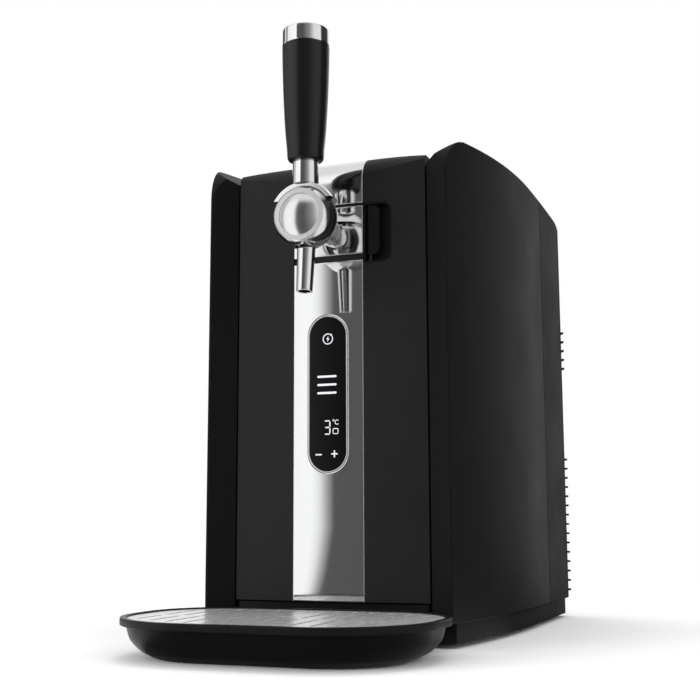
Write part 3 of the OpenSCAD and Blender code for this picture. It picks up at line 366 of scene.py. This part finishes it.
def tap_pieces():
    # The dome looks forwards: its turning axis is the machine's -Y.
    centre = middle("tap_ball")
    forward = Matrix.Translation(centre) @ Matrix.Rotation(math.radians(90), 4, "X")
    back = -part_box("tap_face")[1].y + centre.y
    dome = bmesh.new()
    crown = [(r, dome_height(r)) for r in [DOME_RIM * math.sin(math.radians(a)) for a in range(0, 88, 4)]]
    edge = filleted((DOME_RIM - 0.5, dome_height(DOME_RIM - 0.5) - 0.02, 0),
                    (DOME_RIM, dome_height(DOME_RIM), 0.3), (DOME_RIM, back / MM, 0), (0, back / MM, 0))
    lathe(dome, [p for p in crown if p[0] < DOME_RIM - 0.6] + edge, forward)
    piece_of("dome_turned", dome, "satin", "steel", "door", "tap_face")

    # The spout leans forwards, so it is turned about its own axis and tilted.
    lean = Matrix.Rotation(math.radians(-SPOUT_LEAN), 4, "X")
    place = Matrix.Translation(centre) @ lean
    end = -(SPOUT_LEN + DOME_R + 0.2 - SPOUT_IN)
    spout = bmesh.new()
    lathe(spout, filleted((SPOUT_BORE, end + SPOUT_LEN, 0), (SPOUT_TOP_R, end + SPOUT_LEN, 0),
                          (SPOUT_MOUTH_R + 0.35, end + 12, 8), (SPOUT_MOUTH_R, end, 0.45),
                          (SPOUT_BORE, end, 0.5)), place, closed=True)
    piece_of("spout_turned", spout, "chrome", "chrome", "door", "spout")


# ---------------------------------------------------------------- display marks

MARK_DEPTH = 0.15
# The window's lit marks: middle (from the window's middle and lower end), width and height.
LIT_BARS = [(-0.9, 69.4, 18.2, 1.9), (-0.9, 76.6, 18.2, 1.9), (-0.9, 83.8, 18.2, 1.9), (-8.7, 15.8, 6.2, 1.2),
            (6.1, 16.2, 6.2, 1.2), (6.1, 16.2, 1.2, 6.4)]
# A seven-segment 3, and an open box below the degree sign.
DIGIT_BARS = [(-0.6, 33.4, 4.6, 1.1), (-0.6, 39.2, 4.0, 1.1), (-0.6, 44.9, 4.6, 1.1), (1.9, 36.3, 1.1, 4.8),
              (1.9, 42.0, 1.1, 4.8)]
BOX_BARS = [(7.2, 38.0, 4.4, 0.8), (7.2, 33.6, 4.4, 0.7), (4.9, 35.8, 0.7, 3.9), (9.5, 35.8, 0.7, 3.9)]
BOLT = [(0.5, 2.7), (-1.5, -0.4), (-0.2, -0.4), (-0.5, -2.7), (1.5, 0.4), (0.2, 0.4)]


def capsule(x, z, wide, tall, steps=8):
    """A bar's outline, its short ends round."""
    radius = min(wide, tall) / 2
    reach_x, reach_z = wide / 2 - radius, tall / 2 - radius
    turns = [math.pi * (k / steps - 0.5) for k in range(steps + 1)]
    if wide > tall:
        right = [(x + reach_x + radius * math.cos(a), z + radius * math.sin(a)) for a in turns]
        return right + [(2 * x - px, 2 * z - pz) for px, pz in right]
    top = [(x - radius * math.sin(a), z + reach_z + radius * math.cos(a)) for a in turns]
    return top + [(2 * x - px, 2 * z - pz) for px, pz in top]


def arc_band(x, z, radius, stroke, start, end, steps=32):
    """A stroke along an arc, from start to end in degrees."""
    turns = [math.radians(start + (end - start) * k / steps) for k in range(steps + 1)]
    outer = [(x + radius * math.cos(a), z + radius * math.sin(a)) for a in turns]
    inner = [(x + (radius - stroke) * math.cos(a), z + (radius - stroke) * math.sin(a)) for a in turns]
    return outer, inner


def display_piece():
    low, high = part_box("display_glass")
    base = Vector(((low.x + high.x) / 2, low.y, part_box("display_bezel")[0].z))

    def front(x, z, depth):
        return base + Vector((x, -depth, z)) * MM

    shape = bmesh.new()
    for outline in ([capsule(*bar) for bar in LIT_BARS + DIGIT_BARS + BOX_BARS]
                    + [capsule(3.1, 120.4, 1.9, 1.9), [(x, z + 117) for x, z in BOLT]]):
        rings = [ring_of(shape, [front(x, z, depth) for x, z in outline]) for depth in (0, MARK_DEPTH)]
        bridge(shape, *rings)
        shape.faces.new(rings[1])
    for band in (arc_band(0, 117, 4.9, 0.9, 62, 390), arc_band(8.6, 43.6, 2.2, 0.7, 45, 315),
                 arc_band(5.2, 45.2, 0.9, 0.4, 0, 359)):
        outer, inner = [[ring_of(shape, [front(x, z, depth) for x, z in side]) for depth in (0, MARK_DEPTH)]
                        for side in band]
        for i in range(len(outer[0]) - 1):
            shape.faces.new([outer[1][i], outer[1][i + 1], inner[1][i + 1], inner[1][i]])
            shape.faces.new([outer[0][i], outer[0][i + 1], outer[1][i + 1], outer[1][i]])
            shape.faces.new([inner[1][i], inner[1][i + 1], inner[0][i + 1], inner[0][i]])
    piece_of("display_icons", shape, "lit", "light", "door", "display_marks")


# ---------------------------------------------------------------- drip tray

TRAY_FRONT_R = 84
TRAY_BACK_R = 66
BOWL_WALL = 2.2
BOWL_TOP_IN = 5
BOWL_FOOT_IN = 28
CORNER_STEPS = 28
# The bowl's outline: the share of its foot's inset, and of its height.
BOWL_STEPS = [(1, 0), (0.74, 0.1), (0.45, 0.25), (0.15, 0.54), (0.04, 0.8), (0, 1)]
RIM_W = 5
LEDGE_W = 4
LEDGE_DROP = 2.7
# The tongues: middle, half width, and the ranges of y and z.
TONGUE_X = 50
TONGUE_HALF = 10
TONGUE_Y = (-36, 4.9)
TONGUE_Z = (3, 7)


def tray_outline(inset):
    """The tray's plan, drawn in by inset millimetres, as points in metres at z = 0."""
    low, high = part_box("tray_rim")
    half, front, back = high.x / MM - inset, low.y / MM + inset, high.y / MM - inset
    fr, br = TRAY_FRONT_R - inset, TRAY_BACK_R - inset
    points = []
    for x, y, radius, start in ((half - fr, front + fr, fr, -90), (half - br, back - br, br, 0),
                                (br - half, back - br, br, 90), (fr - half, front + fr, fr, 180)):
        for k in range(CORNER_STEPS + 1):
            a = math.radians(start + 90 * k / CORNER_STEPS)
            points.append(Vector((x + radius * math.cos(a), y + radius * math.sin(a), 0)) * MM)
    return points


def loft(shape, path, closed=False):
    """Faces along a path of (inset, height) in millimetres round the tray's plan."""
    rings = [ring_of(shape, [p + Vector((0, 0, height * MM)) for p in tray_outline(inset)])
             for inset, height in path]
    for low, high in zip(rings, rings[1:] + rings[:1] if closed else rings[1:]):
        bridge(shape, low, high)
    return rings


def tray_pieces():
    low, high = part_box("tray_rim")
    rim_z, top_z = low.z / MM, high.z / MM
    ledge_z = top_z - LEDGE_DROP
    rim = bmesh.new()
    loft(rim, filleted((0, rim_z, 0.5), (0, top_z, 0.9), (RIM_W, top_z, 0.6), (RIM_W, ledge_z, 0),
                       (RIM_W + LEDGE_W, ledge_z, 0.3), (RIM_W + LEDGE_W, rim_z, 0.3)), closed=True)
    piece_of("rim_moulding", rim, "rim", "black_shell", "tray", "tray_rim")

    reach = BOWL_FOOT_IN - BOWL_TOP_IN
    outside = [(BOWL_TOP_IN + share * reach, up * rim_z) for share, up in BOWL_STEPS]
    outer = flowing((BOWL_FOOT_IN + 3, 0), *outside)
    inner = [(inset + BOWL_WALL, max(up, 0) * (rim_z - BOWL_WALL) / rim_z + BOWL_WALL) for inset, up in outer]
    bowl = bmesh.new()
    rings = loft(bowl, [(inset, max(up, 0)) for inset, up in outer] + inner[::-1])
    bowl.faces.new(rings[0])
    bowl.faces.new(rings[-1])
    # The tongues that reach back to the base are a part of the bowl.
    for side in (-1, 1):
        x = side * TONGUE_X
        corners = [at(x - TONGUE_HALF, TONGUE_Y[0], TONGUE_Z[0]), at(x + TONGUE_HALF, TONGUE_Y[1], TONGUE_Z[1])]
        made = bmesh.ops.create_cube(bowl, size=1)["verts"]
        middle_at, size = (corners[0] + corners[1]) / 2, corners[1] - corners[0]
        for vert in made:
            vert.co = middle_at + Vector((vert.co.x * size.x, vert.co.y * size.y, vert.co.z * size.z))
    piece_of("bowl_moulding", bowl, "tray", "black_shell", "tray", "tray_bowl")


handle_pieces()
tap_pieces()
display_piece()
tray_pieces()

# ---------------------------------------------------------------- camera, floor and light

CAM_AT = at(378.7, -924.9, 101.7)
CAM_YAW, CAM_PITCH, CAM_ROLL = 21.15, 8.56, -0.19
CAM_LENS = 59.26


def make_camera():
    data = bpy.data.cameras.new("camera")
    data.sensor_fit = "HORIZONTAL"
    data.sensor_width = 36
    data.lens = CAM_LENS
    data.clip_start, data.clip_end = 0.05, 60
    cam = bpy.data.objects.new("camera", data)
    bpy.context.scene.collection.objects.link(cam)
    yaw, pitch = math.radians(CAM_YAW), math.radians(CAM_PITCH)
    look = Vector((-math.sin(yaw) * math.cos(pitch), math.cos(yaw) * math.cos(pitch), math.sin(pitch)))
    turn = look.to_track_quat("-Z", "Y").to_matrix() @ Matrix.Rotation(math.radians(CAM_ROLL), 3, "Z")
    cam.matrix_world = Matrix.Translation(CAM_AT) @ turn.to_4x4()
    bpy.context.scene.camera = cam


# What glossy surfaces see round the studio: degrees to the right of the front, and brightness.
STUDIO = [(-180, 1.0), (-132, 1.0), (-126, 0.05), (-104, 0.05), (-98, 0.9), (-92, 0.9), (-88, 0.3), (-80, 0.3),
          (-74, 1.05), (-24.5, 1.18), (-21.5, 0.11), (8, 0.09), (40, 0.3), (66, 0.85), (98, 0.9), (106, 0.04),
          (148, 0.05), (166, 1.0), (180, 1.0)]
# The plain light from all round, and the ceiling: its brightness, and where it begins and ends
# in the upward share of a direction.
AMBIENT = 0.62
CEILING = 0.75
CEILING_FROM, CEILING_TO = 0.72, 0.9
# The floor: half its side, what the camera sees, what light bounces off, and the distances
# between which it fades into the backdrop.
FLOOR_HALF = 12.0
FLOOR_SEEN = 1.45
FLOOR_BOUNCE = 0.8
FADE_FROM, FADE_TO = 0.42, 0.95


def studio_round(tree, x, y):
    """The studio's brightness in the direction of x and y, and the brightest level it is scaled by."""
    back = node(tree, "ShaderNodeMath", -900, -400, operation="MULTIPLY")
    back.inputs[1].default_value = -1
    tree.links.new(y, back.inputs[0])
    azimuth = node(tree, "ShaderNodeMath", -700, -300, operation="ARCTAN2")
    tree.links.new(x, azimuth.inputs[0])
    tree.links.new(back.outputs[0], azimuth.inputs[1])
    ramp = node(tree, "ShaderNodeValToRGB", -300, -300)
    tree.links.new(spread(tree, azimuth.outputs[0], 0, 1, -math.pi, math.pi), ramp.inputs[0])
    stops = ramp.color_ramp.elements
    brightest = max(level for _, level in STUDIO)
    for degrees, level in STUDIO:
        if degrees == -180:
            stop = stops[0]
        elif degrees == 180:
            stop = stops[-1]
        else:
            stop = stops.new((degrees + 180) / 360)
        stop.color = (level / brightest, level / brightest, level / brightest, 1)
    return ramp.outputs[0], brightest


def make_world():
    world = bpy.data.worlds.new("studio")
    world.use_nodes = True
    bpy.context.scene.world = world
    tree = world.node_tree
    out = tree.nodes["World Output"]
    ambient = tree.nodes["Background"]
    ambient.inputs["Color"].default_value = (1, 1, 1, 1)
    ambient.inputs["Strength"].default_value = AMBIENT
    coords = node(tree, "ShaderNodeTexCoord", -1300, -300)
    split = node(tree, "ShaderNodeSeparateXYZ", -1100, -300)
    tree.links.new(coords.outputs["Generated"], split.inputs[0])
    around, brightest = studio_round(tree, split.outputs["X"], split.outputs["Y"])
    # Overhead there is a soft white ceiling.
    over = spread(tree, split.outputs["Z"], 0, 1, CEILING_FROM, CEILING_TO)
    lift = node(tree, "ShaderNodeMix", 0, -300, data_type="RGBA")
    tree.links.new(over, lift.inputs[0])
    tree.links.new(around, lift.inputs[6])
    lift.inputs[7].default_value = (CEILING, CEILING, CEILING, 1)
    studio = node(tree, "ShaderNodeBackground", 200, -200)
    studio.inputs["Strength"].default_value = brightest
    tree.links.new(lift.outputs[2], studio.inputs["Color"])
    white = node(tree, "ShaderNodeBackground", 0, -400)
    white.inputs["Color"].default_value = (1, 1, 1, 1)
    rays = node(tree, "ShaderNodeLightPath", -300, 400)
    shiny = node(tree, "ShaderNodeMath", -100, 300, operation="MAXIMUM")
    tree.links.new(rays.outputs["Is Glossy Ray"], shiny.inputs[0])
    tree.links.new(rays.outputs["Is Transmission Ray"], shiny.inputs[1])
    first = node(tree, "ShaderNodeMixShader", 400, 0)
    tree.links.new(shiny.outputs[0], first.inputs[0])
    tree.links.new(ambient.outputs[0], first.inputs[1])
    tree.links.new(studio.outputs[0], first.inputs[2])
    second = node(tree, "ShaderNodeMixShader", 600, 0)
    tree.links.new(rays.outputs["Is Camera Ray"], second.inputs[0])
    tree.links.new(first.outputs[0], second.inputs[1])
    tree.links.new(white.outputs[0], second.inputs[2])
    tree.links.new(second.outputs[0], out.inputs["Surface"])


def make_floor():
    mesh = bpy.data.meshes.new("floor")
    half = FLOOR_HALF
    corners = [(-half, -half, 0), (half, -half, 0), (half, half, 0), (-half, half, 0)]
    mesh.from_pydata(corners, [], [(0, 1, 2, 3)])
    floor = bpy.data.objects.new("floor", mesh)
    bpy.context.scene.collection.objects.link(floor)
    mat = bpy.data.materials.new("floor_white")
    mat.use_nodes = True
    tree = mat.node_tree
    tree.nodes.remove(tree.nodes["Principled BSDF"])
    rays = node(tree, "ShaderNodeLightPath", -400, 300)
    # The camera sees a white floor that keeps the object's shadow; light bounces off a pale one.
    paint = node(tree, "ShaderNodeMix", -200, 200, data_type="RGBA")
    tree.links.new(rays.outputs["Is Camera Ray"], paint.inputs[0])
    paint.inputs[6].default_value = (FLOOR_BOUNCE, FLOOR_BOUNCE, FLOOR_BOUNCE, 1)
    paint.inputs[7].default_value = (FLOOR_SEEN, FLOOR_SEEN, FLOOR_SEEN, 1)
    matte = node(tree, "ShaderNodeBsdfDiffuse", 0, 200)
    tree.links.new(paint.outputs[2], matte.inputs["Color"])
    # Away from the object the floor turns into the white backdrop.
    place = node(tree, "ShaderNodeTexCoord", -1300, -200)
    length = node(tree, "ShaderNodeVectorMath", -700, 500, operation="LENGTH")
    tree.links.new(place.outputs["Object"], length.inputs[0])
    far = node(tree, "ShaderNodeMath", -200, 500, operation="MULTIPLY")
    tree.links.new(spread(tree, length.outputs["Value"], 0, 1, FADE_FROM, FADE_TO), far.inputs[0])
    tree.links.new(rays.outputs["Is Camera Ray"], far.inputs[1])
    backdrop = node(tree, "ShaderNodeEmission", 0, 500)
    ground = node(tree, "ShaderNodeMixShader", 150, 300)
    tree.links.new(far.outputs[0], ground.inputs[0])
    tree.links.new(matte.outputs[0], ground.inputs[1])
    tree.links.new(backdrop.outputs[0], ground.inputs[2])
    # Metal and gloss see the studio's brightness carried on across the floor.
    split = node(tree, "ShaderNodeSeparateXYZ", -1100, -200)
    tree.links.new(place.outputs["Object"], split.inputs[0])
    around, brightest = studio_round(tree, split.outputs["X"], split.outputs["Y"])
    studio = node(tree, "ShaderNodeEmission", 0, -200, Strength=brightest)
    tree.links.new(around, studio.inputs["Color"])
    shiny = node(tree, "ShaderNodeMath", -100, 0, operation="MAXIMUM")
    tree.links.new(rays.outputs["Is Glossy Ray"], shiny.inputs[0])
    tree.links.new(rays.outputs["Is Transmission Ray"], shiny.inputs[1])
    blend = node(tree, "ShaderNodeMixShader", 300, 0)
    tree.links.new(shiny.outputs[0], blend.inputs[0])
    tree.links.new(ground.outputs[0], blend.inputs[1])
    tree.links.new(studio.outputs[0], blend.inputs[2])
    tree.links.new(blend.outputs[0], tree.nodes["Material Output"].inputs["Surface"])
    mesh.materials.append(mat)


def soft_light(name, place, aim, width, height, power):
    """A lamp for the diffuse light alone: metal and gloss see the studio round it."""
    data = bpy.data.lights.new(name, "AREA")
    data.shape = "RECTANGLE"
    data.size, data.size_y = width, height
    data.energy = power
    lamp = bpy.data.objects.new(name, data)
    lamp.visible_glossy = False
    bpy.context.scene.collection.objects.link(lamp)
    turn = (Vector(aim) - Vector(place)).to_track_quat("-Z", "Y")
    lamp.matrix_world = Matrix.Translation(Vector(place)) @ turn.to_matrix().to_4x4()


make_camera()
make_world()
make_floor()
soft_light("key", (-1.15, -1.45, 0.4), (0, 0, 0.15), 0.9, 0.8, 12)
soft_light("top", (0.0, 0.5, 1.9), (0, 0.2, 0.3), 1.2, 0.9, 6)
soft_light("side", (2.1, 0.3, 0.9), (0.1, 0.1, 0.25), 1.0, 1.4, 4)
bpy.context.scene.view_settings.view_transform = "Standard"
